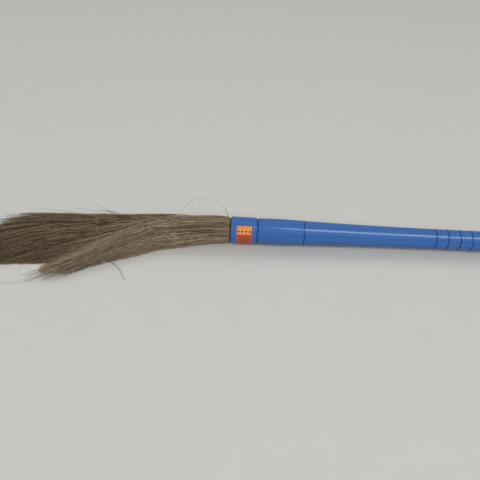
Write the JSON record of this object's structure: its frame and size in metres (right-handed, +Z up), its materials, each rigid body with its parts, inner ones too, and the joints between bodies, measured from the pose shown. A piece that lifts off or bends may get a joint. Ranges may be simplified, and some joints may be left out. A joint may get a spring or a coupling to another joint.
{
  "type": "broom",
  "caption": "Long-handled grass broom lying flat: hanks of fine stalks bound in a moulded collar on a hollow ringed handle, with a hanging eye at the end cap.",
  "frame": {"origin": "on the surface that the broom lies on, under the middle of its outline", "axes": "+X along the broom towards the handle's end, -Y towards the side that the brush sweeps to, +Z up from the surface"},
  "size_m": [0.9979, 0.1198, 0.038],
  "materials": {
    "blue_plastic": "moulded, smooth, slightly glossy",
    "label_paper": "coated paper, plain two-tone",
    "dark_grass": "dry grass stalks, dark",
    "pale_grass": "dry grass stalks, pale",
    "twine": "twisted jute",
    "steel_wire": "galvanised wire",
    "bamboo": "split bamboo"
  },
  "bodies": {
    "root": {"handle_tube": "blue_plastic", "collar": "blue_plastic", "end_cap": "blue_plastic", "label": "label_paper", "core_peg": "bamboo", "binding_wire_front": "steel_wire", "binding_wire_rear": "steel_wire", "hank_1": "dark_grass", "hank_tie_1": "twine", "hank_2": "dark_grass", "hank_tie_2": "twine", "hank_3": "dark_grass", "hank_tie_3": "twine", "hank_4": "dark_grass", "hank_tie_4": "twine", "hank_5": "dark_grass", "hank_tie_5": "twine", "hank_6": "pale_grass", "hank_tie_6": "twine", "hank_7": "pale_grass", "hank_tie_7": "twine", "hank_8": "pale_grass", "hank_tie_8": "twine", "hank_9": "pale_grass", "hank_tie_9": "twine", "hank_10": "pale_grass", "hank_tie_10": "twine"}
  },
  "joints": []
}
